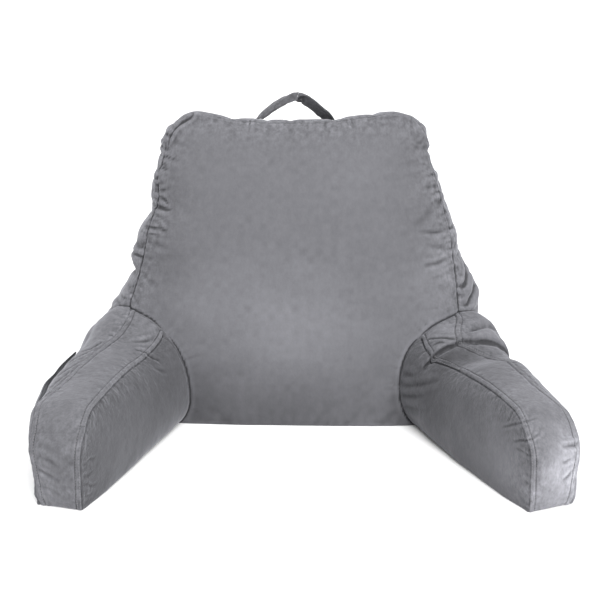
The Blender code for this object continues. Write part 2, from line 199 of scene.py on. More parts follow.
LEFT_ARM_FOLDS = table(
    FOLD_COLUMNS,
    # the kink of the inner seam and the strokes beside it
    (0.0028, 0.0028, 0.5, ((0.6, 0.14, 1), (0.626, 0.03, 1), (0.632, 0, 0.97), (0.645, 0, 0.92))),
    (0.001, 0.0034, 0.5, ((0.59, 0, 0.93), (0.61, 0, 0.86), (0.64, 0, 0.8))),
    (0.0018, 0.0035, 0.5, ((0.63, 0.26, 1), (0.673, 0.1, 1), (0.723, 0.02, 1))),
    # folds across the nose, and ticks over the inner felled seam
    (0.0008, 0.004, 0.7, ((0, 0.9, 0.9), (0, 0.63, 0.8), (0, 0.4, 0.7), (0, 0.2, 0.62))),
    (0.0009, 0.0036, 0.7, ((0, 0.92, 0.7), (0, 0.6, 0.575), (0, 0.33, 0.48))),
    (0.0009, 0.0032, 0.7, ((0, 0.94, 0.52), (0, 0.62, 0.4), (0, 0.37, 0.33))),
    (0.0006, 0.0034, 0.7, ((0, 0.9, 0.3), (0, 0.62, 0.22), (0, 0.4, 0.17))),
    (0.0008, 0.0014, 0.4, ((0.02, 0.16, 1), (0.017, 0.04, 1), (0.03, 0, 0.97))),
    (0.0009, 0.002, 0.4, ((0, 0.06, 0.56), (0.02, 0, 0.52), (0.05, 0, 0.53), (0.08, 0, 0.5))),
    (0.0007, 0.0024, 0.4, ((0.005, 0, 0.4), (0.03, 0, 0.37), (0.06, 0, 0.38))),
    (0.0009, 0.002, 0.4, ((0.005, 0, 0.3), (0.03, 0, 0.27), (0.05, 0, 0.22), (0.08, 0, 0.2))),
    (0.0007, 0.002, 0.4, ((0.005, 0, 0.16), (0.03, 0, 0.13), (0.06, 0, 0.12))),
    # crumpled cloth between the strip's outer seam and the pocket's mouth
    (0.0026, 0.0032, 0.6, ((0.5, 1, 0.96), (0.533, 0.8, 1), (0.6, 0.66, 1))),
    (0.003, 0.003, 0.6, ((0.43, 0.97, 1), (0.47, 0.88, 1), (0.53, 0.72, 1))),
    (0.0026, 0.003, 0.6, ((0.33, 0.95, 1), (0.39, 0.84, 1), (0.455, 0.74, 1))),
    (0.0022, 0.0026, 0.6, ((0.24, 0.93, 1), (0.29, 0.87, 1), (0.36, 0.79, 1))),
)
BACK_FOLDS = table(
    FOLD_COLUMNS,
    # notches and gathers of the side seams
    (0.0016, 0.003, 0.8, ((0, 0.25, 0.725), (0, 0.02, 0.722), (0.025, 0, 0.716), (0.06, 0, 0.708))),
    (0.0008, 0.0026, 0.8, ((0.004, 0, 0.755), (0.025, 0, 0.742), (0.045, 0, 0.722))),
    (0.0016, 0.003, 0.8, ((0, 0.25, 0.665), (0, 0.02, 0.65), (0.03, 0, 0.65), (0.065, 0, 0.64))),
    (0.0008, 0.0028, 0.8, ((0.004, 0, 0.672), (0.03, 0, 0.664), (0.05, 0, 0.65))),
    (0.0009, 0.005, 0.5, ((0, 0.1, 0.6), (0.02, 0, 0.6), (0.08, 0, 0.59))),
    (0.0007, 0.005, 0.5, ((0, 0.12, 0.49), (0.02, 0, 0.485), (0.07, 0, 0.46))),
    (0.004, 0.0026, 0.3, ((0.086, 0.06, 1), (0.08, 0, 0.992), (0.066, 0, 0.981), (0.04, 0, 0.977),
     (0.022, 0, 0.964), (0.012, 0, 0.94), (0.008, 0, 0.905))),
    (0.0016, 0.003, 0.5, ((0, 0.25, 0.945), (0.02, 0, 0.955), (0.04, 0, 0.95))),
    (0.0007, 0.0036, 0.5, ((0.93, 0, 0.78), (0.976, 0, 0.786), (1, 0.06, 0.79))),
    (0.0009, 0.007, 0.4, ((0.875, 0, 0.664), (0.92, 0, 0.686), (0.975, 0, 0.726))),
    (0.0007, 0.003, 0.5, ((0.89, 0, 0.645), (0.95, 0, 0.638), (1, 0.06, 0.642))),
    (0.0008, 0.005, 0.5, ((0.91, 0, 0.6), (0.96, 0, 0.59), (1, 0.12, 0.588))),
    (0.0009, 0.0034, 0.6, ((0.9, 0, 0.53), (0.95, 0, 0.538), (1, 0.1, 0.556))),
    (0.0006, 0.004, 0.5, ((0.92, 0, 0.485), (0.97, 0, 0.498), (1, 0.08, 0.51))),
    (0.006, 0.006, 0.4, ((1, 0.3, 0.44), (1, 0.1, 0.392), (1, 0.02, 0.37))),
    (0.0034, 0.004, 0.5, ((1, 0.3, 0.53), (1, 0.12, 0.47), (1, 0.01, 0.43))),
)
FOLDS = {"back": BACK_FOLDS, "arm_left": LEFT_ARM_FOLDS, "arm_right": RIGHT_ARM_FOLDS}

# Places that stand out from the drawn form, or in where the rise is negative: metres, at a share triple
BULGES = {
    "back": table(
        "at reach rise",
        ((0, 0.35, 0.86), 0.045, -0.005), ((0, 0.35, 0.54), 0.022, 0.0055), ((1, 0.35, 0.88), 0.04, -0.004),
        ((1, 0.35, 0.57), 0.03, 0.005), ((1, 0.35, 0.43), 0.02, 0.004),
    ),
    "arm_left": table(
        "at reach rise",
        ((0.1, 1, 1), 0.022, 0.003), ((0, 1, 0.12), 0.016, 0.0045),
    ),
    "arm_right": table(
        "at reach rise",
        ((0, 1, 0.15), 0.018, 0.004),
    ),
}

# Painted shade and painted highlights, with some smudges of brushed nap: how much paler or darker the pile is
# coloured, and round which places, over a reach in metres
PANEL_SHADE = {"arm_left": 0.62, "arm_right": 0.84}     # painted shade on the arms' inner panels
PAINTED_LIGHT_SPOTS = {
    "back": table(
        "at reach shade",
        ((0.5, 0, 0), 0.085, 0.62), ((0.18, 0, 0.02), 0.07, 0.55), ((0.85, 0, 0.02), 0.06, 0.68),
        ((0.08, 0, 0.55), 0.04, 0.86), ((0.34, 0, 0.03), 0.06, 0.76), ((0.66, 0, 0.03), 0.055, 0.84),
        ((0.06, 0, 0.78), 0.035, 0.9), ((0.72, 0, 0.86), 0.06, 1.08), ((0.5, 0, 0.34), 0.09, 1.3),
        ((0.25, 0, 0.45), 0.06, 1.14), ((0.96, 0, 0.52), 0.035, 1.2), ((0.93, 0, 0.36), 0.045, 1.15),
        ((0.91, 0, 0.68), 0.025, 0.86), ((0.92, 0, 0.86), 0.04, 0.94),
    ),
    "arm_left": table(
        "at reach shade",
        ((0.55, 0, 0.66), 0.07, 0.74), ((0, 0.85, 0.3), 0.04, 1.2), ((0.82, 0, 0.6), 0.04, 1.15),
        ((0.75, 0.05, 0.05), 0.04, 0.85), ((0, 0.3, 0.45), 0.04, 0.85), ((0.2, 0.7, 1), 0.05, 1.12),
    ),
    "arm_right": table(
        "at reach shade",
        ((0.6, 0, 0.45), 0.11, 0.56), ((0.6, 0.3, 1), 0.024, 0.66), ((0.62, 0.12, 1), 0.018, 0.62),
        ((0.1, 0, 0.3), 0.06, 1.35), ((0.26, 0.9, 1), 0.05, 1.12), ((0, 0.85, 0.25), 0.06, 2.2),
        ((0, 0.75, 0.62), 0.045, 1.6), ((0, 0.12, 0.4), 0.025, 0.85), ((0.16, 0.8, 1), 0.06, 1.25),
        ((0.73, 0.3, 1), 0.024, 1.6),
    ),
}
LOW_SIDE_SHADE, FLOOR_RISE = 0.70, 0.30      # painted shade: the arms' sides are coloured darker low down
POCKET_INSIDE_SHADE = 0.20                      # painted shade inside the pocket
PLUSH_GRAIN = table(
    "scale detail amount tall",
    (9.0, 3.0, 0.20, 1.0), (38.0, 4.0, 0.30, 0.6), (130.0, 2.0, 0.55, 0.7), (330.0, 3.0, 0.55, 0.6),
)

# Offsets of the grid lines from a seam, so that grooves and stitch rows fall on them
PLAIN_SEAM = (0.0, 0.0014, 0.003, 0.005, 0.008)
FELLED_SEAM = (0.0, 0.0012, 0.0026, 0.005, 0.0064, 0.0078, 0.0092, 0.011)
FLOOR_SEAM = (0.0, 0.0025, 0.006)
STRAP_EDGE = (0.0, 0.0008, 0.0018, 0.0028, 0.0034, 0.0040, 0.0056, 0.0062, 0.0068)


# ---- shared shape functions
def mix(start, end, share):
    return start + (end - start) * share


def ease(share):
    """Rises smoothly from 0 to 1 as the share does."""
    share = np.clip(share, 0.0, 1.0)
    return share * share * (3.0 - 2.0 * share)


def hump(offset, width):
    """1 where there is no offset, and fading smoothly to 0 beyond the width."""
    return np.exp(-(offset / width) ** 2)


def swell(share):
    """Height of a filled panel across its width: 0 at either seam, 1 half-way, steep at the seams."""
    return np.maximum(0.0, 1.0 - np.abs(2.0 * share - 1.0) ** 2.4) ** 0.6


def rows_at(rows, key, value):
    """Every column of a table at many values of its key, passing smoothly through the rows."""
    knots = np.array(rows)
    keys = knots[:, rows[0]._fields.index(key)]
    slopes = np.gradient(knots, keys, axis=0)
    value = np.clip(value, keys[0], keys[-1])
    low = np.clip(np.searchsorted(keys, value, side="right") - 1, 0, len(keys) - 2)
    reach = keys[low + 1] - keys[low]
    t = ((value - keys[low]) / reach)[:, None]
    reach = reach[:, None]
    found = (2.0 * t ** 3 - 3.0 * t ** 2 + 1.0) * knots[low] + (3.0 * t ** 2 - 2.0 * t ** 3) * knots[low + 1]
    found += ((t ** 3 - 2.0 * t ** 2 + t) * slopes[low] + (t ** 3 - t ** 2) * slopes[low + 1]) * reach
    return type(rows[0])(*found.T)


def back_form(shares):
    """Points of the back cushion: across from the left, deep from the front, high from the floor."""
    across, deep, high = np.asarray(shares, float).T
    row = rows_at(BACK_ROWS, "height", high * BACK_HEIGHT)
    edge = rows_at(TOP_EDGE, "across", across)
    gusset = mix(swell(deep), 1.0, REAR_FLARE * deep)
    x = mix(row.seam_left, row.seam_right, across)
    x = x + (row.side_left - row.seam_left) * (1.0 - across) * gusset
    x = x + (row.side_right - row.seam_right) * across * gusset
    front = FRONT_SEAM_FOOT + row.height * math.tan(FRONT_LEAN)
    rear = REAR_SEAM_FOOT + row.height * math.tan(REAR_LEAN)
    filled = mix(swell(high), 1.0, FOOT_SHARE * (1.0 - high) ** 2)
    y = mix(front, rear, deep) + swell(across) * filled * mix(-FRONT_CROWN, REAR_CROWN, deep)
    low = np.maximum(0.0, 1.0 - row.height / FOOT_REACH) ** 2
    belly = swell(across) * hump(row.height - BELLY_HEIGHT, BELLY_REACH)
    y = y - (1.0 - deep) * ((FOOT_PUSH + FOOT_PUSH_RIGHT * across ** 2) * low + BELLY_PUSH * belly)
    z = row.height + edge.rise * high ** EAR_REACH - TOP_SLOPE * deep * high
    z = z + TOP_CROWN * swell(across) * swell(deep) * high
    return np.stack((x, y, z), 1) + DRAWN_AT


def arm_form(arm, shares):
    """Points of an arm: from its front end back, from its inner panel out, and from the floor up."""
    back_share, out_share, up_share = np.asarray(shares, float).T
    along = back_share * arm.rows[-1].along
    row = rows_at(arm.rows, "along", along)
    filled = swell(up_share) * swell(0.5 * np.minimum(1.0, along / NOSE_REACH))
    inner = mix(row.floor_in, row.seam_in, up_share)
    outer = mix(row.floor_out, row.seam_out, up_share)
    inner = inner + (row.belly_in - mix(row.floor_in, row.seam_in, 0.5)) * filled
    outer = outer + (row.belly_out - mix(row.floor_out, row.seam_out, 0.5)) * filled
    ridge = mix(row.ridge_in, row.ridge_out, out_share)
    height = ridge * up_share + row.crown * swell(out_share) * up_share
    front_filled = swell(0.5 * np.minimum(1.0, up_share / 0.5))
    along = along - NOSE_CROWN * swell(out_share) * front_filled * (1.0 - back_share)
    top = ridge + row.crown * swell(out_share)
    forward = (NOSE_RADIUS - along) / NOSE_RADIUS
    upward = (height - top + NOSE_RADIUS) / NOSE_RADIUS
    turning = (forward > 0.0) & (upward > 0.0)
    around = NOSE_RADIUS * (1.0 - forward * np.sqrt(np.maximum(0.0, 1.0 - upward ** 2 / 2.0)))
    over = top - NOSE_RADIUS * (1.0 - upward * np.sqrt(np.maximum(0.0, 1.0 - forward ** 2 / 2.0)))
    along, height = np.where(turning, around, along), np.where(turning, over, height)
    out = mix(inner, outer, out_share)
    shoulder = hump(along - SHOULDER_ALONG, SHOULDER_REACH)
    out = out + arm.shoulder * (shoulder * ease((out_share - 0.70) / 0.30) * ease((up_share - 0.30) / 0.60))
    x = arm.corner_x + arm.outwards * (out * math.cos(arm.flare) - along * math.sin(arm.flare))
    y = arm.corner_y + along * math.cos(arm.flare) + out * math.sin(arm.flare)
    return np.stack((x, y, height), 1) + DRAWN_AT


def outer_seam_at(arm, shares):
    """How far out the strip's outer seam lies at each place along and up an arm."""
    run = shares[:, 0] * arm.rows[-1].along - (1.0 - shares[:, 2]) * NOSE_RUN
    return rows_at(arm.outer_seam, "run", run).out


def strip_form(arm, shares):
    """Points on an arm's boxing strip, whose out share runs from the inner to the outer felled seam."""
    placed = shares.copy()
    placed[:, 1] *= outer_seam_at(arm, shares)
    return arm_form(arm, placed)


def outward(arm):
    """The level direction that an arm's outer panel faces."""
    return np.array((arm.outwards * math.cos(arm.flare), math.sin(arm.flare), 0.0))


def spacing(length, cell, start, end):
    """Shares along a length: the given offsets from either end, and even cells between them."""
    count = max(2, round((length - start[-1] - end[-1]) / cell))
    even = np.linspace(start[-1], length - end[-1], count + 1)
    lines = np.concatenate((start[:-1], even, length - np.array(end[:-1][::-1])))
    return lines / length


def shell(first, second, third):
    """The surface of a unit box gridded at the given shares: corner shares and four-sided faces."""
    grids = [np.asarray(g, float) for g in (first, second, third)]
    outside = np.zeros([len(g) for g in grids], bool)
    for axis in range(3):
        for end in (0, -1):
            outside[tuple(end if a == axis else slice(None) for a in range(3))] = True
    index = np.full(outside.shape, -1)
    index[outside] = np.arange(outside.sum())
    places = np.nonzero(outside)
    shares = np.stack([grid[place] for grid, place in zip(grids, places)], 1)
    faces = []
    for axis in range(3):
        for end in (0, -1):
            side = np.take(index, end, axis)
            ring = [side[:-1, :-1], side[1:, :-1], side[1:, 1:], side[:-1, 1:]]
            if (axis == 1) != (end == 0):
                ring = ring[::-1]
            faces.append(np.stack([corner.ravel() for corner in ring], 1))
    return shares, np.concatenate(faces), places


# ---- noise and lines
def lattice(x, y, z, seed):
    n = (x * 73856093) ^ (y * 19349663) ^ (z * 83492791) ^ (seed * 265443576)
    n = ((n ^ (n >> 13)) * 1274126177) & 0x7FFFFFFF
    n = ((n ^ (n >> 15)) * 668265263) & 0x7FFFFFFF
    return (n & 0xFFFF) / 32767.5 - 1.0


def noise(points, seed):
    """Smooth noise from -1 to 1 with features about 1 unit across."""
    points = np.asarray(points, float)
    base = np.floor(points).astype(np.int64)
    part = points - base
    part = part ** 3 * (part * (part * 6.0 - 15.0) + 10.0)
    total = 0.0
    for corner in range(8):
        step = np.array((corner & 1, corner >> 1 & 1, corner >> 2 & 1))
        weight = np.prod(np.where(step, part, 1.0 - part), axis=1)
        total = total + weight * lattice(*(base + step).T, seed)
    return total


def ripple(seed, run, off=0.0):
    """Noise along a run, and away from it where off is given."""
    return noise(np.column_stack((run, off + 0.0 * run, 0.0 * run)), seed)


def along_line(points, line):
    """Distance of each point from a line of points, and how far along it the nearest place is."""
    starts, steps = line[:-1], np.diff(line, axis=0)
    lengths = np.linalg.norm(steps, axis=1)
    begun = np.concatenate(((0.0,), np.cumsum(lengths)))
    nearest, run = np.full(len(points), 9.0), np.zeros(len(points))
    for start, step, length, before in zip(starts, steps, lengths, begun):
        share = np.clip((points - start) @ step / max(length, 1e-9) ** 2, 0.0, 1.0)
        gap = np.linalg.norm(points - start - share[:, None] * step, axis=1)
        closer = gap < nearest
        nearest[closer] = gap[closer]
        run[closer] = (before + share * length)[closer]
    return nearest, run


# ---- mesh helpers
def read(values, name, wide=True):
    """A vector or a number of every entry of a mesh's list, as an array."""
    flat = np.empty(len(values) * (3 if wide else 1), np.float32)
    values.foreach_get(name, flat)
    return flat.reshape(-1, 3).astype(float) if wide else flat.astype(float)


def points_of(obj):
    return read(obj.data.vertices, "co")


def normals_of(obj):
    return read(obj.data.vertex_normals, "vector")


def set_points(obj, points):
    obj.data.vertices.foreach_set("co", np.asarray(points, np.float32).ravel())
    obj.data.update()


def store(obj, name, values):
    """Keeps a number or a vector for every point of a mesh, under a name."""
    values = np.asarray(values, np.float32)
    wide, layers = values.ndim == 2, obj.data.attributes
    layer = layers.get(name) or layers.new(name, "FLOAT_VECTOR" if wide else "FLOAT", "POINT")
    layer.data.foreach_set("vector" if wide else "value", values.ravel())


def stored(obj, name):
    """What was kept under a name."""
    layer = obj.data.attributes[name]
    wide = layer.data_type == "FLOAT_VECTOR"
    return read(layer.data, "vector" if wide else "value", wide)


def laid(obj):
    """Where a cushion's points were drawn, and their shares."""
    return stored(obj, "drawn"), stored(obj, "share")


def new_mesh(name, points, faces):
    data = bpy.data.meshes.new(name)
    data.from_pydata([tuple(p) for p in np.asarray(points, float)], [], [tuple(f) for f in faces])
    mesh = bmesh.new()
    mesh.from_mesh(data)
    bmesh.ops.recalc_face_normals(mesh, faces=mesh.faces)
    mesh.to_mesh(data)
    mesh.free()
    data.shade_smooth()
    made = bpy.data.objects.new(name, data)
    bpy.context.scene.collection.objects.link(made)
    return made


def tree_of(obj):
    """A mesh as a tree that finds its nearest place."""
    data = obj.data
    return BVHTree.FromPolygons([v.co for v in data.vertices], [tuple(p.vertices) for p in data.polygons])


def outside_by(tree, point):
    """How far a point is outside a closed mesh, negative just inside."""
    place, normal, _, distance = tree.find_nearest(point)
    return distance if distance > 0.03 else (point - place).dot(normal)


def nearest_on(tree, point):
    """The place on a mesh nearest to a point, and the normal there."""
    return tuple(np.array(found) for found in tree.find_nearest(Vector(point))[:2])


def smoothed(obj, field, rounds):
    """A per-vertex field averaged with its neighbours, round after round."""
    edges = np.empty(len(obj.data.edges) * 2, np.int32)
    obj.data.edges.foreach_get("vertices", edges)
    one, two = edges.reshape(-1, 2).T
    count = len(obj.data.vertices)
    share = np.bincount(one, minlength=count) + np.bincount(two, minlength=count)
    field = field.copy()
    for _ in range(rounds):
        for axis in range(field.shape[1]):
            column = field[:, axis]
            total = np.bincount(one, column[two], count) + np.bincount(two, column[one], count)
            field[:, axis] = 0.5 * column + 0.5 * total / share
    return field


def store_cavity(obj, points):
    """Stores how hollow the cloth is at each point, negative on a ridge; it places painted shade in creases
    and painted highlights on ridges.
    """
    hollow = smoothed(obj, points, 3) - points
    store(obj, "cavity", (hollow * normals_of(obj)).sum(1) / 0.001)


def subdivided(obj):
    """Applies one level of subdivision."""
    bpy.context.view_layer.objects.active = obj
    finer = obj.modifiers.new("finer", "SUBSURF")
    finer.levels = finer.render_levels = 1
    finer.boundary_smooth = "PRESERVE_CORNERS"
    bpy.ops.object.modifier_apply(modifier=finer.name)


# ---- the cushions before filling
ENTRY_STEPS = 46


def drawn_back():
    """The back cushion, whose grid lines crowd beside its seams."""
    across = spacing(BACK_WIDTH, 0.0064, PLAIN_SEAM, PLAIN_SEAM)
    deep = spacing(BACK_DEPTH, 0.0066, PLAIN_SEAM, PLAIN_SEAM)
    high = spacing(BACK_HEIGHT, 0.0066, FLOOR_SEAM, PLAIN_SEAM)
    shares, faces, _ = shell(across, deep, high)
    points = back_form(shares)
    made = new_mesh("back_cushion", points, faces)
    store(made, "share", shares)
    store(made, "drawn", points)
    return made


def entries(form, second, third, first, last, tree):
    """Where each line of a form, followed from its first share to its last, meets a closed mesh."""
    columns = np.stack(np.meshgrid(second, third, indexing="ij"), -1).reshape(-1, 2)
    steps = np.linspace(first, last, ENTRY_STEPS)
    entry = np.full(len(columns), float(last))
    waiting = np.ones(len(columns), bool)
    before = np.ones(len(columns))
    for old, step in zip(steps, steps[1:]):
        points = form(np.column_stack((np.full(len(columns), step), columns)))
        for i in np.nonzero(waiting)[0]:
            clear = outside_by(tree, Vector((*points[i][:2], max(points[i][2], 0.008)))) - GAP
            if clear < 0.0:
                entry[i] = mix(old, step, before[i] / (before[i] - clear))
                waiting[i] = False
            before[i] = clear
    return entry.reshape(len(second), len(third))


def drawn_arm(arm, back_tree):
    """An arm whose grid follows its two felled seams and whose rear end is fitted to the back's surface."""
    back = spacing(arm.rows[-1].along, 0.0047, PLAIN_SEAM, (0.0, 0.003))
    strip = spacing(STRIP_WIDTH, 0.0054, FELLED_SEAM, FELLED_SEAM) * STRIP_SHARE
    beyond = STRIP_SHARE + spacing(STRIP_REST, 0.0045, PLAIN_SEAM[:4], (0.0, 0.003)) * (1.0 - STRIP_SHARE)
    across = np.concatenate((strip, beyond[1:]))
    up = spacing(SIDE_HEIGHT, 0.0050, FLOOR_SEAM, PLAIN_SEAM)
    grid, faces, places = shell(back, across, up)

    def placed(shares):
        seam, line = outer_seam_at(arm, shares), shares[:, 1]
        rest = mix(seam, 1.0, (line - STRIP_SHARE) / (1.0 - STRIP_SHARE))
        out = np.where(line <= STRIP_SHARE, line / STRIP_SHARE * seam, rest)
        return np.column_stack((shares[:, 0], out, shares[:, 2]))

    entry = entries(lambda shares: arm_form(arm, placed(shares)), across, up, 0.45, 1.0, back_tree)
    for _ in range(3):
        entry[:, 1:-1] = 0.25 * entry[:, :-2] + 0.5 * entry[:, 1:-1] + 0.25 * entry[:, 2:]
    entry = entry[places[1], places[2]]
    fitted = grid.copy()
    fitted[:, 0] *= entry
    fitted = placed(fitted)
    points = arm_form(arm, fitted)
    made = new_mesh(arm.name + "_cushion", points, faces)
    store(made, "share", fitted)
    store(made, "drawn", points)
    store(made, "rear", (grid[:, 0] > 0.9999).astype(float))
    on_strip = (grid[:, 1] <= STRIP_SHARE + EDGE) & ((grid[:, 2] > 0.9999) | (grid[:, 0] < EDGE))
    store(made, "strip", on_strip.astype(float))
    top_column = (places[1] == 0) & (places[2] == len(up) - 1)
    made["inner_entry"] = float(entry[top_column][0])
    return made


# ---- filling
FILLING_FRAMES = 20


def held(distance, reach):
    """Pinning weight near a seam."""
    return np.clip(1.0 - distance / reach, 0.0, 1.0)


def start_filling(obj, pins, growth):
    """Gives a cushion a cloth simulation with pressure inside it."""
    group = obj.vertex_groups.new(name="held")
    pins = np.round(pins, 2)
    for weight in np.unique(pins[pins > 0.0]):
        group.add(np.nonzero(pins == weight)[0].tolist(), float(weight), "REPLACE")
    cloth = obj.modifiers.new("filling", "CLOTH")
    settings = {
        "quality": 4, "mass": 0.25, "tension_stiffness": 12.0, "compression_stiffness": 12.0,
        "shear_stiffness": 4.0, "bending_stiffness": 0.4, "air_damping": 2.0, "use_pressure": True,
        "uniform_pressure_force": 4.0, "shrink_min": -growth, "vertex_group_mass": group.name,
    }
    for key, value in settings.items():
        setattr(cloth.settings, key, value)
    cloth.settings.effector_weights.gravity = 0.0
    cloth.collision_settings.use_collision = False
    cloth.collision_settings.use_self_collision = False
    cloth.point_cache.frame_start, cloth.point_cache.frame_end = 1, FILLING_FRAMES


def fill_all(jobs):
    """Runs every cushion's cloth together, keeps a share of its swelling and its creases, and caps both."""
    for job in jobs:
        start_filling(job.obj, job.pins, job.growth)
    scene = bpy.context.scene
    for number in range(1, FILLING_FRAMES + 1):
        scene.frame_set(number)
    seen = bpy.context.evaluated_depsgraph_get()
    for job in jobs:
        filled = points_of(job.obj.evaluated_get(seen))
        before = points_of(job.obj)
        motion = filled - before
        broad = smoothed(job.obj, motion, 40)
        motion = broad * job.keep[:, None] + (motion - broad) * job.crease[:, None]
        length = np.linalg.norm(motion, axis=1, keepdims=True)
        motion *= job.cap * np.tanh(length / job.cap) / np.maximum(length, 1e-9)
        job.obj.modifiers.clear()
        set_points(job.obj, before + motion)
    scene.frame_set(1)


def box_edge(form, fixed, count=70, first=0.0, last=1.0):
    """A seam's line: one box edge, with two shares fixed and the third running from first to last."""
    run = np.linspace(first, last, count)
    return form(np.stack([run if share is None else np.full(count, float(share)) for share in fixed], 1))


def strip_line(arm, out, up_count, up_from, over_count, over_to):
    """A line on an arm's strip, up its front and back along its top."""
    def form(shares):
        return strip_form(arm, shares)
    up = box_edge(form, (0, out, None), up_count, up_from)
    return np.concatenate((up[:-1], box_edge(form, (None, out, 1), over_count, 0.0, over_to)))


def arm_seam(arm, obj, out):
    """An arm's felled seam, up its front and back along its top."""
    return strip_line(arm, out, 30, 0.0, 80, min(1.0, obj["inner_entry"] + 0.08))


def ring_of(obj):
    """The closed seam where an arm meets the back, in order round the arm."""
    drawn, share = laid(obj)
    rear = stored(obj, "rear") > 0.5
    edge = rear & (np.abs(share[:, 1:] - 0.5) > 0.5 - EDGE).any(1)
    points = drawn[edge]
    around = share[edge][:, 1:] - 0.5
    points = points[np.argsort(np.arctan2(around[:, 1], around[:, 0]))]
    return np.concatenate((points, points[:1]))


# ---- build
back = drawn_back()
back_tree = tree_of(back)
ARMS = (LEFT_ARM, RIGHT_ARM)
arms = [drawn_arm(arm, back_tree) for arm in ARMS]
rings = [ring_of(obj) for obj in arms]
inner_seams = [arm_seam(arm, obj, 0.0) for arm, obj in zip(ARMS, arms)]
outer_seams = [arm_seam(arm, obj, 1.0) for arm, obj in zip(ARMS, arms)]

BACK_SEAMS = {
    "front_left": (0, 0, None), "front_right": (1, 0, None), "front_top": (None, 0, 1),
    "rear_left": (0, 1, None), "rear_right": (1, 1, None), "rear_top": (None, 1, 1),
    "front_floor": (None, 0, 0),
}
back_seams = {name: box_edge(back_form, fixed) for name, fixed in BACK_SEAMS.items()}

Job = namedtuple("Job", "obj pins growth keep crease cap")
drawn, share = laid(back)
pins = (share[:, 2] == 0.0).astype(float)
for line in back_seams.values():
    pins = np.maximum(pins, held(along_line(drawn, line)[0], 0.004))
for obj in arms:
    end = stored(obj, "drawn")[stored(obj, "rear") > 0.5]
    reach = np.concatenate([np.linalg.norm(chunk[:, None] - end[None], axis=2).min(1)
                            for chunk in np.array_split(drawn, 40)])
    pins = np.maximum(pins, held(reach - 0.004, 0.006))
front = share[:, 1] < EDGE
seam_gap = np.min([along_line(drawn, line)[0] for line in back_seams.values()], axis=0)
crease = np.where(front, 0.55 * np.exp(-seam_gap / 0.030), 0.9)
jobs = [Job(back, pins, growth=0.03, keep=np.where(front, 0.20, 0.05), crease=crease, cap=0.014)]
for obj, inner, outer in zip(arms, inner_seams, outer_seams):
    drawn, share = laid(obj)
    pins = ((stored(obj, "rear") > 0.5) | (share[:, 2] == 0.0)).astype(float)
    gaps = [along_line(drawn, line)[0] for line in (inner, outer)]
    for gap in gaps:
        pins = np.maximum(pins, held(gap, 0.004))
    crease = np.where(share[:, 1] > 1.0 - EDGE, 0.6, 0.45 * np.exp(-np.minimum(*gaps) / 0.018))
    jobs.append(Job(obj, pins, growth=0.018, keep=np.full(len(drawn), 0.20), crease=crease, cap=0.010))
fill_all(jobs)

for piece in [back, *arms]:
    subdivided(piece)


# ---- seams, gathers and folds
def bump_up(obj, lift):
    """Moves every point out along its normal."""
    set_points(obj, points_of(obj) + normals_of(obj) * lift[:, None])


def sewn(drawn, line, groove, width, gather, reach, pitch, seed):
    """Height beside a sewn seam: a groove, and puckers that run away from it and die out."""
    distance, run = along_line(drawn, line)
    wave = ripple(seed, run / pitch, distance / (5.0 * pitch))
    fine = ripple(seed + 1, run / (0.45 * pitch), distance / (2.5 * pitch))
    strength = 0.65 + 0.55 * ripple(seed + 2, run / (6.0 * pitch))
    puckers = 2.2 * np.abs(wave) - 0.6 + 0.35 * fine
    lift = gather * strength * puckers * np.exp(-distance / reach) * (1.0 - np.exp(-distance / 0.0025))
    return lift - groove * (1.0 + 0.35 * wave) * hump(distance, width), distance


def smooth_line(points, count=40):
    """A smooth curve through a few points."""
    keys = np.linspace(0.0, 1.0, len(points))
    rows = table("at x y z", *((key, *point) for key, point in zip(keys, points)))
    found = rows_at(rows, "at", np.linspace(0.0, 1.0, count))
    return np.stack((found.x, found.y, found.z), 1)


FORMS = {
    "back": back_form,
    "arm_left": lambda shares: arm_form(LEFT_ARM, shares),
    "arm_right": lambda shares: arm_form(RIGHT_ARM, shares),
}


def gap_to(name, drawn, at):
    """Distance of drawn points from one share triple of their piece's form."""
    return np.linalg.norm(drawn - FORMS[name]([at])[0], axis=1)


def folded(name, drawn, fold):
    """Height beside one fold: a trough that tapers at both ends, with a low ridge on either side."""
    line = smooth_line(FORMS[name](fold.path))
    distance, run = along_line(drawn, line)
    total = np.linalg.norm(np.diff(line, axis=0), axis=1).sum()
    taper = np.sin(math.pi * np.clip(run / total, 0.0, 1.0)) ** 0.6
    ridge = fold.lip * hump(distance - 2.1 * fold.width, fold.width)
    return fold.depth * taper * (ridge - hump(distance, fold.width))


def placed_by_hand(name, drawn):
    """Height of a piece's folds and bulges."""
    lift = sum(folded(name, drawn, fold) for fold in FOLDS[name])
    return lift + sum(bulge.rise * hump(gap_to(name, drawn, bulge.at), bulge.reach) for bulge in BULGES[name])


def store_painted_light(obj, name, shade, seam_gap):
    """Stores how pale or dark the pile is coloured, as painted shade and painted highlights with some nap
    smudges at listed places, and how crumpled it is near seams.
    """
    drawn = stored(obj, "drawn")
    unsteady = 1.0 + 0.25 * noise(drawn / 0.03, 400)
    for painted_light in PAINTED_LIGHT_SPOTS[name]:
        shade = shade * (1.0 + (painted_light.shade - 1.0) * hump(gap_to(name, drawn, painted_light.at) * unsteady, painted_light.reach))
    store(obj, "painted_light", shade)
    store(obj, "rough", 0.15 + 0.85 * np.exp(-seam_gap / 0.024))


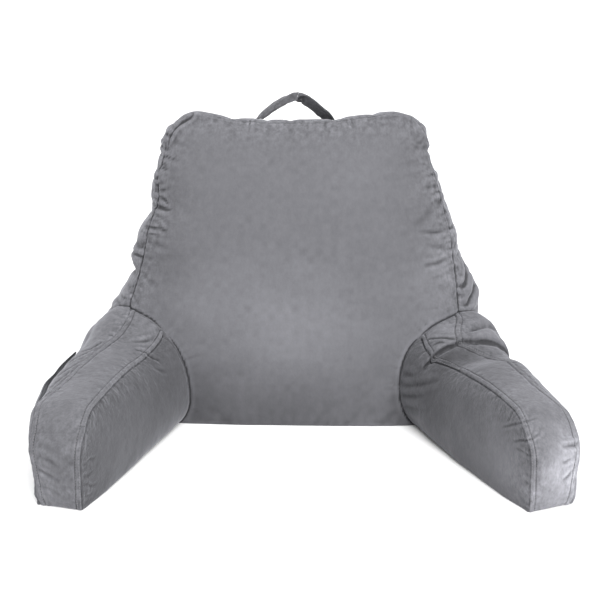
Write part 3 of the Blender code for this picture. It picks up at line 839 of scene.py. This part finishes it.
def raise_collar(obj):
    """Rolls the right arm's strip over itself where it puffs up beside the back."""
    arm, share = RIGHT_ARM, stored(obj, "share")
    crease = rows_at(COLLAR_FOLD, "out", share[:, 1]).along
    behind = share[:, 0] * arm.rows[-1].along - crease
    side = np.where(share[:, 1] < 0.5, ease((share[:, 2] - 0.84) / 0.12), ease((share[:, 2] - 0.55) / 0.35))
    push = COLLAR_PUSH * ease(behind / 0.008 + 0.5) * np.exp(-np.maximum(behind, 0.0) / 0.016) * side
    over_seam = 1.0 - 0.6 * hump(share[:, 1] - 0.42, 0.07)
    lift = COLLAR_RISE * hump(behind - 0.008, 0.011)
    lift -= COLLAR_VALLEY * over_seam * hump(behind + 0.006, 0.0065)
    forward = np.array((arm.outwards * math.sin(arm.flare), -math.cos(arm.flare), 0.0))
    points = points_of(obj) + forward * push[:, None]
    points[:, 2] += lift * side
    set_points(obj, points)


def settle(obj):
    """Keeps a cushion's foot flat on the floor."""
    points = points_of(obj)
    points[:, 2] = np.maximum(points[:, 2], 0.0)
    points[stored(obj, "share")[:, 2] < EDGE, 2] = 0.0
    set_points(obj, points)
    store_cavity(obj, points)


drawn, share = laid(back)
lift, seam_gap = np.zeros(len(drawn)), np.full(len(drawn), 9.0)
SEWINGS = table(
    "seam groove gather reach pitch",
    ("front_left", 0.0020, 0.0014, 0.016, 0.0095), ("front_right", 0.0020, 0.0014, 0.018, 0.0100),
    ("front_top", 0.0007, 0.0017, 0.008, 0.0075), ("rear_left", 0.0020, 0.0015, 0.020, 0.0095),
    ("rear_right", 0.0020, 0.0015, 0.020, 0.0095), ("rear_top", 0.0018, 0.0012, 0.014, 0.0095),
)
for seed, (name, groove, gather, reach, pitch) in enumerate(SEWINGS):
    height, distance = sewn(drawn, back_seams[name], groove, 0.0020, gather, reach, pitch, 10 * seed)
    lift += height + 0.0008 * noise(drawn / 0.0065, 150 + seed) * np.exp(-distance / 0.020)
    seam_gap = np.minimum(seam_gap, distance)
for seed, ring in enumerate(rings):
    lift += sewn(drawn, ring, groove=0.0030, width=0.0024, gather=0.0008, reach=0.016, pitch=0.011,
                 seed=100 + 10 * seed)[0]
gusset = np.abs(share[:, 0] - 0.5) > 0.5 - EDGE
wrinkled = noise(np.column_stack((drawn[:, 2] / 0.011, drawn[:, 1] / 0.05, share[:, 0] * 9)), 60)
lift += gusset * 0.0020 * (np.abs(wrinkled) * 2 - 0.6) * np.clip(drawn[:, 2] / 0.1, 0, 1)
lift += placed_by_hand("back", drawn) + 0.0007 * noise(drawn / 0.045, 70) + 0.00025 * noise(drawn / 0.012, 71)
bump_up(back, lift)
settle(back)
store_painted_light(back, "back", np.ones(len(drawn)), seam_gap)

raise_collar(arms[1])
for seed, (arm, obj, inner, outer, ring) in enumerate(zip(ARMS, arms, inner_seams, outer_seams, rings)):
    drawn, share = laid(obj)
    strip = stored(obj, "strip") > 0.5
    lift = placed_by_hand(arm.name, drawn)
    lift += 0.0006 * noise(drawn / 0.035, 80) + 0.00025 * noise(drawn / 0.011, 81)
    for number, (line, gather, reach) in enumerate(((inner, 0.0009, 0.009), (outer, 0.0012, 0.012))):
        height, distance = sewn(drawn, line, groove=0.0017, width=0.0015, gather=gather, reach=reach,
                                pitch=0.008, seed=200 + 40 * seed + 10 * number)
        band = np.clip((distance - 0.0010) / 0.0010, 0, 1) * np.clip((FELL - distance) / 0.0010, 0, 1)
        height = np.where(strip & (distance < FELL), height * (1.0 - band), height)
        lift += height + strip * (0.0008 * band - 0.0016 * hump(distance - 0.0082, 0.0010))
        lift += 0.0008 * noise(drawn / 0.006, 350 + number) * np.exp(-distance / 0.014) * (distance > 0.001)
    side = stored(obj, "rear") <= 0.01
    lift += side * sewn(drawn, ring, groove=0.0016, width=0.0025, gather=0.0008, reach=0.012, pitch=0.010,
                        seed=300 + 10 * seed)[0]
    bump_up(obj, lift)
    settle(obj)
    # painted shade: the inner panels darker, the sides darker low down, and the arm's surface inside the
    # pocket darkest
    shade = np.where((share[:, 1] < EDGE) & ~strip, PANEL_SHADE[arm.name], 1.0)
    shade = shade * np.where(strip, 1.0, mix(LOW_SIDE_SHADE, 1.0, ease(share[:, 2] / FLOOR_RISE)))
    if arm is LEFT_ARM:
        run = share[:, 0] * arm.rows[-1].along
        inside = (share[:, 1] > 1.0 - EDGE) & (share[:, 2] < POCKET_MOUTH)
        inside &= (run > POCKET_FRONT) & (run < POCKET_REAR)
        shade = np.where(inside, POCKET_INSIDE_SHADE, shade)
    store_painted_light(obj, arm.name, shade, 0.6 * np.minimum(*(along_line(drawn, line)[0] for line in (inner, outer))))


# ---- pocket, handle and stitching
def drawn_pocket(arm, arm_tree):
    """A patch pocket on the arm's outer panel, with a folded hem at a mouth that stands a little open."""
    back = spacing(POCKET_REAR - POCKET_FRONT, 0.0036, (0.0, 0.002), (0.0, 0.002))
    up = spacing(POCKET_HEIGHT, 0.0032, (0.0, 0.002), (0.0, 0.0014, 0.0028, 0.0056, 0.0095, 0.0115, 0.0135))
    shares, faces, _ = shell(back, np.array((0.0, 0.5, 1.0)), up)
    along, cloth, high = shares.T
    outwards = outward(arm)
    mouth = POCKET_MOUTH + 0.012 * ripple(500, along * 5.0)
    places = np.column_stack((mix(POCKET_FRONT, POCKET_REAR, along) / arm.rows[-1].along,
                              np.ones(len(along)), mix(POCKET_FOOT, mouth, high)))
    base = arm_form(arm, places)
    lift = np.empty(len(base))
    for i, point in enumerate(base):
        hit, _, _, _ = arm_tree.ray_cast(Vector(point + 0.06 * outwards), Vector(-outwards), 0.12)
        lift[i] = (np.array(hit) - point) @ outwards if hit else 0.0
    from_mouth = (1.0 - high) * POCKET_HEIGHT
    hem = ease((HEM_DEPTH - from_mouth) / 0.0015)
    gape = POCKET_GAPE * swell(along) * high ** 3 * (1.0 + 0.12 * ripple(510, along * 7.0))
    creases = 0.0012 * (1.0 - high) ** 0.5 * ripple(520, along * 14.0, high * 2.5)
    stitch_row = 0.0007 * hump(from_mouth - HEM_DEPTH + 0.002, 0.0008)
    thick = mix(POCKET_CLOTH, HEM_CLOTH, hem) - stitch_row
    rounding = np.sqrt(np.clip(from_mouth / 0.0022, 0.0, 1.0))
    middle = GAP + 0.0004 + gape + np.abs(creases) + 0.5 * thick
    made = new_mesh("pocket_cloth", base + outwards * POCKET_CLOTH * cloth[:, None], faces)
    offset = smoothed(made, lift[:, None], 30)[:, 0] + middle + (cloth - 0.5) * thick * rounding
    points = base + outwards * offset[:, None]
    for _ in range(3):
        for i, point in enumerate(points):
            short = GAP - outside_by(arm_tree, Vector(point))
            if short > 0.0:
                points[i] += outwards * short * 1.2
    set_points(made, points)
    return made


def strap_form(shares):
    """Points of the carry strap: along its arch, across it from the near edge, and through its cloth."""
    along, wide, cloth = np.asarray(shares, float).T
    lengths = np.linspace(0.0, 1.0, len(STRAP_ROWS))
    rows = table("at x y z lean", *((at, *row) for at, row in zip(lengths, STRAP_ROWS)))
    behind, here, ahead = (rows_at(rows, "at", along + step) for step in (-0.002, 0.0, 0.002))
    place = np.stack(here[1:4], 1)
    forward = np.stack(ahead[1:4], 1) - np.stack(behind[1:4], 1)
    forward /= np.linalg.norm(forward, axis=1, keepdims=True)
    upward = np.cross(forward, (0.0, 1.0, 0.0))
    upward /= np.linalg.norm(upward, axis=1, keepdims=True)
    deep = np.cross(upward, forward)
    lean = np.radians(here.lean)[:, None]
    sideways = deep * np.cos(lean) + upward * np.sin(lean)
    face = upward * np.cos(lean) - deep * np.sin(lean)
    edge = 2.0 * np.abs(wide - 0.5)
    to_edge = (1.0 - edge) * 0.5 * STRAP_WIDTH
    thick = STRAP_CLOTH * np.sqrt(np.clip(to_edge / 0.0016, 0.06, 1.0))
    for row in (STRAP_ROW_NEAR, STRAP_ROW_FAR):
        thick = thick - 0.0011 * hump(to_edge - row, 0.0007)
    crinkle = 0.0005 * ripple(530, along * 26.0, wide * 3.0)
    wave = 0.0012 * ripple(531, along * 7.0)
    across = (wide - 0.5) * STRAP_WIDTH * (1.0 + 0.05 * ripple(532, along * 9.0))
    cup = STRAP_CUP + STRAP_TOP_CUP * hump(along - 0.50, 0.14)
    rise = cup * (1.0 - edge ** 2) + crinkle + (cloth - 0.5) * thick
    return place + sideways * (across + wave)[:, None] + face * rise[:, None] + DRAWN_AT


def drawn_strap(tree):
    """The carry strap, whose two ends are fitted to the back's surface."""
    along = np.linspace(0.0, 1.0, 121)
    wide = spacing(STRAP_WIDTH, 0.0024, STRAP_EDGE, STRAP_EDGE)
    thick = np.array((0.0, 0.5, 1.0))
    grid, faces, places = shell(along, wide, thick)
    ends = (entries(strap_form, wide, thick, 0.5, last, tree) for last in (0.0, 1.0))
    first, last = (end[places[1], places[2]] for end in ends)
    points = strap_form(np.column_stack((mix(first, last, grid[:, 0]), grid[:, 1:])))
    return new_mesh("handle_strap", points, faces)


def stitches(name, lines):
    """A row of short raised threads along each line of (place, normal) pairs, as one mesh."""
    points, faces = [], []
    for line in lines:
        places, normals = (np.array(column) for column in zip(*line))
        run = np.concatenate(((0.0,), np.cumsum(np.linalg.norm(np.diff(places, axis=0), axis=1))))

        def at(length, field):
            return np.array([np.interp(length, run, field[:, axis]) for axis in range(3)])
        for start in np.arange(0.0, run[-1] - STITCH, STITCH + STITCH_GAP):
            ends = at(start, places), at(start + STITCH, places)
            if min(ends[0][2], ends[1][2]) < THREAD_CLEAR:
                continue
            out = at(start + 0.5 * STITCH, normals)
            out /= np.linalg.norm(out)
            way = (ends[1] - ends[0]) / np.linalg.norm(ends[1] - ends[0])
            side = np.cross(way, out)
            base = len(points)
            for share, size in ((0.0, 0.35), (0.25, 1.0), (0.75, 1.0), (1.0, 0.35)):
                middle = mix(ends[0], ends[1], share) + out * (0.00025 + 0.0002 * (size - 0.35))
                points += [middle + THREAD * size * (side * a + out * b) for a, b in THREAD_ROUND]
            for low in (base, base + 5, base + 10):
                faces += [(low + k, low + (k + 1) % 5, low + 5 + (k + 1) % 5, low + 5 + k) for k in range(5)]
            faces += [tuple(base + k for k in range(4, -1, -1)), tuple(base + 15 + k for k in range(5))]
    return new_mesh(name, points, faces)


arm_trees = [tree_of(obj) for obj in arms]
pocket = drawn_pocket(LEFT_ARM, arm_trees[0])
subdivided(pocket)
strap = drawn_strap(tree_of(back))
subdivided(strap)
facing = normals_of(pocket) @ outward(LEFT_ARM)
# painted light on the pocket: the outer face a little paler, the hem and rim edges a painted highlight, the
# inside face painted shade
pocket_shade = np.where(facing > 0.5, 1.10, np.where(facing > -0.75, 1.90, POCKET_INSIDE_SHADE))
for piece, texture, shade in ((pocket, 0.4, pocket_shade), (strap, 1.0, np.ones(len(strap.data.vertices)))):
    store(piece, "painted_light", shade)
    store(piece, "rough", np.full(len(shade), texture))
    store_cavity(piece, points_of(piece))

strap_tree, strap_lines = tree_of(strap), []
for row in (STRAP_ROW_NEAR, STRAP_ROW_FAR, STRAP_WIDTH - STRAP_ROW_NEAR):
    for cloth in (0.0, 1.0):
        route = box_edge(strap_form, (None, row / STRAP_WIDTH, cloth), 220, 0.1, 0.9)
        strap_lines.append([nearest_on(strap_tree, point) for point in route])
strap_thread = stitches("handle_stitches", strap_lines)

seam_lines = []
for arm, obj, tree in zip(ARMS, arms, arm_trees):
    for row in (STRIP_ROW_NEAR, STRIP_WIDTH - STRIP_ROW_NEAR, STRIP_ROW_FAR, STRIP_WIDTH - STRIP_ROW_FAR):
        route = strip_line(arm, row / STRIP_WIDTH, 60, 0.02, 160, obj["inner_entry"] * 0.97)
        seam_lines.append([nearest_on(tree, point) for point in route])
seam_thread = stitches("seam_stitches", seam_lines)


# ---- plush
class Shading:
    """Short helpers that add nodes to one material."""

    def __init__(self, name, roughness):
        self.material = bpy.data.materials.new(name)
        self.material.use_nodes = True
        self.nodes, self.links = self.material.node_tree.nodes, self.material.node_tree.links
        self.shader = self.nodes["Principled BSDF"]
        self.set(self.shader, {"Roughness": roughness})
        self.place = self.nodes.new("ShaderNodeTexCoord").outputs["Object"]

    def set(self, node, inputs):
        """Gives a node's inputs a value, or links them to another node's output."""
        for key, value in inputs.items():
            if isinstance(value, bpy.types.NodeSocket):
                self.links.new(value, node.inputs[key])
            else:
                node.inputs[key].default_value = value
        return node

    def noise(self, scale, detail, roughness=0.55, tall=1.0):
        mapping = self.nodes.new("ShaderNodeMapping")
        self.set(mapping, {"Vector": self.place, "Scale": (1.0, 1.0, tall)})
        made = self.nodes.new("ShaderNodeTexNoise")
        grain = {"Scale": scale, "Detail": detail, "Roughness": roughness}
        self.set(made, {"Vector": mapping.outputs[0], **grain})
        return made.outputs["Fac"]

    def attribute(self, name):
        made = self.nodes.new("ShaderNodeAttribute")
        made.attribute_name = name
        return made.outputs["Fac"]

    def maths(self, kind, first, second, clamp=False):
        made = self.set(self.nodes.new("ShaderNodeMath"), {0: first, 1: second})
        made.operation, made.use_clamp = kind, clamp
        return made.outputs[0]

    def times(self, first, second):
        return self.maths("MULTIPLY", first, second)

    def swing(self, value, amount):
        """A factor round 1 from a noise round 0.5."""
        return self.maths("ADD", self.times(self.times(self.maths("SUBTRACT", value, 0.5), 2.0), amount), 1.0)

    def coloured(self, colour, shade):
        scale = self.nodes.new("ShaderNodeVectorMath")
        scale.operation = "SCALE"
        self.set(scale, {0: colour, "Scale": shade})
        self.set(self.shader, {"Base Color": scale.outputs[0]})

    def bumped(self, layers):
        normal = {}
        for height, strength, distance in layers:
            bump = self.nodes.new("ShaderNodeBump")
            self.set(bump, {"Strength": strength, "Distance": distance, "Height": height, **normal})
            normal = {"Normal": bump.outputs["Normal"]}
        self.set(self.shader, normal)


def plush(name, colour):
    """Short velvety pile: painted shade and painted highlights with some brushed nap, fine grain, painted
    shade in its creases and painted highlights on its ridges.
    """
    cloth = Shading(name, 0.88)
    cloth.set(cloth.shader, {"Specular IOR Level": 0.25, "Sheen Weight": 0.30, "Sheen Roughness": 0.40,
                             "Sheen Tint": (0.92, 0.93, 1.0, 1.0)})
    shade, rough, cavity = (cloth.attribute(kind) for kind in ("painted_light", "rough", "cavity"))
    for scale, detail, amount, tall in PLUSH_GRAIN:
        patch = cloth.swing(cloth.noise(scale, detail, tall=tall), cloth.times(rough, amount))
        shade = cloth.times(shade, patch)
    # painted shade in the creases and painted highlights on the ridges, from the stored cavity
    crease_shade = cloth.maths("MULTIPLY", cloth.maths("MAXIMUM", cavity, 0.0), 2.2, clamp=True)
    pale = cloth.times(cloth.maths("MINIMUM", cavity, 0.0), -0.9)
    shade = cloth.times(shade, cloth.maths("SUBTRACT", 1.0, cloth.times(crease_shade, 0.6)))
    shade = cloth.times(shade, cloth.maths("ADD", 1.0, cloth.maths("MINIMUM", pale, 0.30)))
    cloth.coloured(colour, shade)
    coarse, fine = (cloth.times(cloth.noise(scale, 3.0, 0.62), rough) for scale in (150.0, 380.0))
    cloth.bumped(((coarse, 0.55, 0.0030), (fine, 0.65, 0.0018)))
    return cloth.material


def thread(name, colour):
    yarn = Shading(name, 0.6)
    yarn.coloured(colour, yarn.swing(yarn.noise(300.0, 2.0), 0.2))
    yarn.bumped(((yarn.noise(2500.0, 1.0), 0.3, 0.0002),))
    return yarn.material


main_plush = plush("grey_plush", (0.101, 0.101, 0.110))
strap_plush = plush("strap_plush", (0.072, 0.072, 0.078))
grey_thread = thread("grey_thread", (0.17, 0.17, 0.18))
pale_thread = thread("pale_thread", (0.62, 0.62, 0.64))
dressed = {"back": back, "arm_left": arms[0], "arm_right": arms[1], "pocket": pocket, "handle": strap}
for node, piece in dressed.items():
    piece.data.materials.append(strap_plush if piece is strap else main_plush)
    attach(piece, "root")
    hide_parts(node)
for piece, yarn in ((strap_thread, pale_thread), (seam_thread, grey_thread)):
    piece.data.materials.append(yarn)
    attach(piece, "root")


# ---- stage, light, camera
def sun(name, direction, softness, power, tint=(1.0, 1.0, 1.0)):
    data = bpy.data.lights.new(name, "SUN")
    data.energy, data.angle, data.color = power, math.radians(softness), tint
    lamp = bpy.data.objects.new(name, data)
    lamp.rotation_euler = Vector(direction).to_track_quat("Z", "Y").to_euler()
    bpy.context.scene.collection.objects.link(lamp)


bpy.ops.mesh.primitive_circle_add(vertices=96, radius=40.0, fill_type="NGON", location=(0.0, 0.0, -0.0005))
floor = bpy.context.object
floor.name = floor.data.name = "studio_floor"
pale = Shading("pale_floor", 1.0)
pale.set(pale.shader, {"Base Color": (0.92, 0.92, 0.92, 1.0)})
floor.data.materials.append(pale.material)

world = bpy.data.worlds.new("studio")
world.use_nodes = True
sky = world.node_tree.nodes["Background"]
sky.inputs["Color"].default_value = (1.0, 1.0, 1.0, 1.0)
sky.inputs["Strength"].default_value = 0.30
bpy.context.scene.world = world
bpy.context.scene.view_settings.view_transform = "Standard"

sun("key", (0.32, -0.78, 0.53), 45.0, 4.0)
sun("left_rear", (-0.71, 0.41, 0.57), 45.0, 0.9)
sun("top", (0.05, -0.10, 0.99), 70.0, 2.2)

camera_data = bpy.data.cameras.new("camera")
camera_data.lens = 82.5
camera_data.sensor_width = 36.0
camera = bpy.data.objects.new("camera", camera_data)
AIM = Vector(DRAWN_AT) + Vector((0.0, 0.0, 0.232))
DISTANCE, ELEVATION = 2.0, math.radians(18.0)
camera.location = AIM + DISTANCE * Vector((0.0, -math.cos(ELEVATION), math.sin(ELEVATION)))
camera.rotation_euler = (AIM - camera.location).to_track_quat("-Z", "Y").to_euler()
bpy.context.scene.collection.objects.link(camera)
bpy.context.scene.camera = camera
